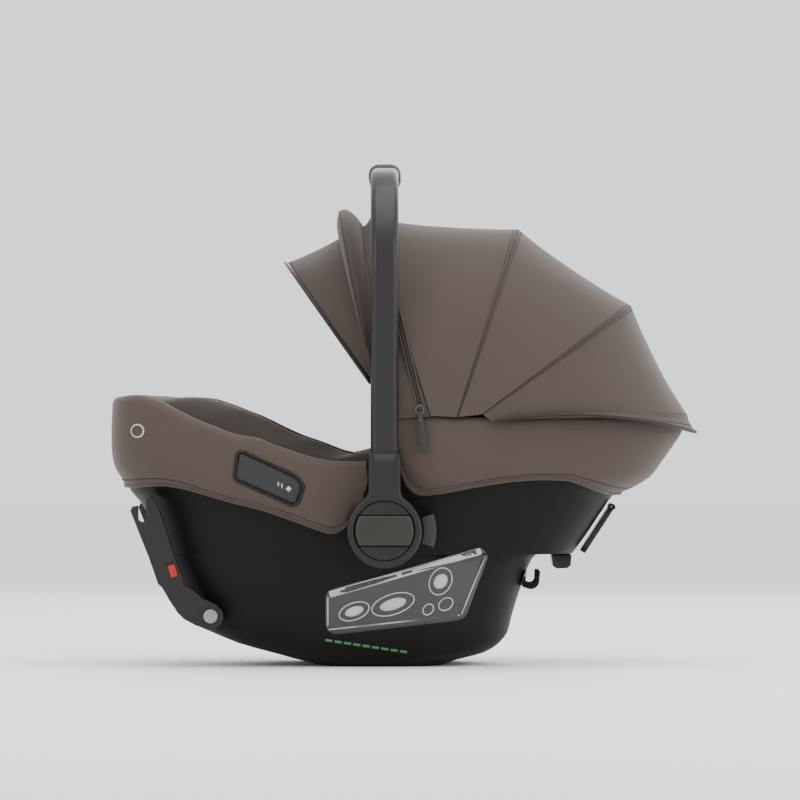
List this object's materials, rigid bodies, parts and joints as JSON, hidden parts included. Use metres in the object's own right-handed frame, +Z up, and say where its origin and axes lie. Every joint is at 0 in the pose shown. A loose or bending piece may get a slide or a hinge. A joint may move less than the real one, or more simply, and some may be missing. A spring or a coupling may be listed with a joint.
{
  "type": "infant car seat",
  "caption": "Infant carrier with a padded bucket seat and harness, a turning carry handle, a folding canopy and two latch arms that swing out at the foot end.",
  "frame": {"origin": "on the ground under the middle of the whole seat", "axes": "+X to the head end, -Y to the left side, +Z up"},
  "size_m": [0.6695, 0.4424, 0.573],
  "materials": {
    "shell_plastic": "matte, finely grained",
    "foam": "expanded foam",
    "cover_fabric": "fine melange weave, padded",
    "pad_fabric": "soft knit, padded",
    "canopy_fabric": "fine melange weave",
    "visor_fabric": "fine melange weave",
    "binding": "ribbed binding",
    "webbing": "woven webbing",
    "handle_plastic": "satin",
    "grip_rubber": "soft touch",
    "hub_plastic": "satin",
    "button_plastic": "satin",
    "red_plastic": "gloss",
    "dark_plastic": "satin",
    "steel": "brushed",
    "leather": "fine grain",
    "label_film": "printed film",
    "light_print": "printed"
  },
  "bodies": {
    "carrier": {"shell": "shell_plastic", "hub_base_left": "shell_plastic", "hub_base_right": "shell_plastic", "rear_block": "shell_plastic", "belt_hooks": "shell_plastic", "foam_liner": "foam", "foot_cover": "cover_fabric", "head_cover": "cover_fabric", "seat_pad": "pad_fabric", "infant_insert": "pad_fabric", "head_cushion": "pad_fabric", "shoulder_pads": "pad_fabric", "crotch_pad": "pad_fabric", "canopy_rear": "canopy_fabric", "canopy_hem": "binding", "shoulder_straps": "webbing", "lap_straps": "webbing", "crotch_strap": "webbing", "buckle_housing": "dark_plastic", "adjuster_housing": "dark_plastic", "buckle_tongues": "steel", "splitter_plate": "steel", "handle_pins": "steel", "canopy_mounts": "steel", "latch_axles": "steel", "flap_frames": "leather", "info_labels": "label_film", "ring_emblems": "light_print"},
    "handle": {"handle_bar": "handle_plastic", "handle_grip": "grip_rubber", "hub_shell_left": "hub_plastic", "hub_shell_right": "hub_plastic", "hub_disc_left": "hub_plastic", "hub_disc_right": "hub_plastic", "hub_springs": "steel"},
    "rear_canopy": {"rear_bow": "dark_plastic", "canopy_mid": "canopy_fabric"},
    "mid_canopy": {"mid_bow": "dark_plastic", "canopy_front": "canopy_fabric"},
    "front_canopy": {"front_bow": "dark_plastic", "canopy_visor": "visor_fabric", "canopy_gore": "canopy_fabric", "canopy_shade": "visor_fabric"},
    "zipper_pull": {"zipper_pull": "leather"},
    "release_lever": {"release_lever": "shell_plastic"},
    "buckle_button": {"buckle_button": "red_plastic"},
    "adjuster_button": {"adjuster_button": "button_plastic"},
    "hub_button_left": {"hub_button_left": "button_plastic"},
    "memory_button_left": {"memory_button_left": "button_plastic"},
    "belt_flap_left": {"belt_flap_left": "leather"},
    "latch_arm_left": {"latch_arm_left": "hub_plastic"},
    "latch_jaw_left": {"latch_jaw_left": "steel"},
    "latch_flag_left": {"latch_flag_left": "red_plastic"},
    "hub_button_right": {"hub_button_right": "button_plastic"},
    "memory_button_right": {"memory_button_right": "button_plastic"},
    "belt_flap_right": {"belt_flap_right": "leather"},
    "latch_arm_right": {"latch_arm_right": "hub_plastic"},
    "latch_jaw_right": {"latch_jaw_right": "steel"},
    "latch_flag_right": {"latch_flag_right": "red_plastic"}
  },
  "joints": [
    {"name": "handle_turn", "type": "hinge", "parent": "carrier", "child": "handle", "pos_m": [-0.0235, 0, 0.1565], "axis": [0, 1, 0], "range_deg": [-95, 100]},
    {"name": "canopy_rear_fold", "type": "hinge", "parent": "carrier", "child": "rear_canopy", "pos_m": [0.0457, 0, 0.247], "axis": [0, 1, 0], "range_deg": [0, 22.5], "deforming": ["canopy_rear"]},
    {"name": "canopy_mid_fold", "type": "hinge", "parent": "rear_canopy", "child": "mid_canopy", "pos_m": [0.0457, 0, 0.247], "axis": [0, 1, 0], "range_deg": [0, 28], "deforming": ["canopy_mid"]},
    {"name": "canopy_front_fold", "type": "hinge", "parent": "mid_canopy", "child": "front_canopy", "pos_m": [0.0457, 0, 0.247], "axis": [0, 1, 0], "range_deg": [0, 31], "deforming": ["canopy_front"]},
    {"name": "zipper_pull_swing", "type": "hinge", "parent": "front_canopy", "child": "zipper_pull", "pos_m": [0.016, -0.1937, 0.296], "axis": [0, 1, 0], "range_deg": [-25, 25]},
    {"name": "release_lever_pull", "type": "hinge", "parent": "carrier", "child": "release_lever", "pos_m": [0.238, 0, 0.181], "axis": [0, -1, 0], "range_deg": [0, 12], "stiffness_Nm_per_rad": 0.6},
    {"name": "buckle_press", "type": "slide", "parent": "carrier", "child": "buckle_button", "axis": [0.5605, 0, -0.8282], "range_m": [0, 0.004], "stiffness_N_per_m": 600},
    {"name": "adjuster_press", "type": "slide", "parent": "carrier", "child": "adjuster_button", "axis": [-0.766, 0, -0.6428], "range_m": [0, 0.003], "stiffness_N_per_m": 600},
    {"name": "hub_press_left", "type": "slide", "parent": "handle", "child": "hub_button_left", "axis": [0, 1, 0], "range_m": [0, 0.005], "stiffness_N_per_m": 700, "deforming": ["hub_springs"]},
    {"name": "memory_press_left", "type": "slide", "parent": "carrier", "child": "memory_button_left", "axis": [0, 1, 0], "range_m": [0, 0.004], "stiffness_N_per_m": 700},
    {"name": "belt_flap_open_left", "type": "hinge", "parent": "carrier", "child": "belt_flap_left", "pos_m": [-0.2, -0.18536, 0.229], "axis": [-0.342, 0, -0.9397], "range_deg": [0, 35], "stiffness_Nm_per_rad": 0.02},
    {"name": "latch_arm_swing_left", "type": "hinge", "parent": "carrier", "child": "latch_arm_left", "pos_m": [-0.221, 0, 0.0586], "axis": [0, 1, 0], "range_deg": [-62, 0]},
    {"name": "latch_jaw_close_left", "type": "hinge", "parent": "latch_arm_left", "child": "latch_jaw_left", "pos_m": [-0.286, 0, 0.16], "axis": [0, -1, 0], "range_deg": [0, 30], "stiffness_Nm_per_rad": 0.05},
    {"name": "latch_flag_slide_left", "type": "slide", "parent": "latch_arm_left", "child": "latch_flag_left", "axis": [-0.2924, 0, 0.9563], "range_m": [0, 0.003]},
    {"name": "hub_press_right", "type": "slide", "parent": "handle", "child": "hub_button_right", "axis": [0, -1, 0], "range_m": [0, 0.005], "stiffness_N_per_m": 700, "deforming": ["hub_springs"]},
    {"name": "memory_press_right", "type": "slide", "parent": "carrier", "child": "memory_button_right", "axis": [0, -1, 0], "range_m": [0, 0.004], "stiffness_N_per_m": 700},
    {"name": "belt_flap_open_right", "type": "hinge", "parent": "carrier", "child": "belt_flap_right", "pos_m": [-0.2, 0.18536, 0.229], "axis": [0.342, 0, 0.9397], "range_deg": [0, 35], "stiffness_Nm_per_rad": 0.02},
    {"name": "latch_arm_swing_right", "type": "hinge", "parent": "carrier", "child": "latch_arm_right", "pos_m": [-0.221, 0, 0.0586], "axis": [0, 1, 0], "range_deg": [-62, 0]},
    {"name": "latch_jaw_close_right", "type": "hinge", "parent": "latch_arm_right", "child": "latch_jaw_right", "pos_m": [-0.286, 0, 0.16], "axis": [0, -1, 0], "range_deg": [0, 30], "stiffness_Nm_per_rad": 0.05},
    {"name": "latch_flag_slide_right", "type": "slide", "parent": "latch_arm_right", "child": "latch_flag_right", "axis": [-0.2924, 0, 0.9563], "range_m": [0, 0.003]}
  ],
  "couplings": [
    {"joint": "canopy_mid_fold", "follows": "canopy_front_fold", "ratio": 0.9},
    {"joint": "canopy_rear_fold", "follows": "canopy_front_fold", "ratio": 0.725},
    {"joint": "latch_flag_slide_left", "follows": "latch_jaw_close_left", "m_per_rad": 0.0057},
    {"joint": "latch_flag_slide_right", "follows": "latch_jaw_close_right", "m_per_rad": 0.0057}
  ]
}
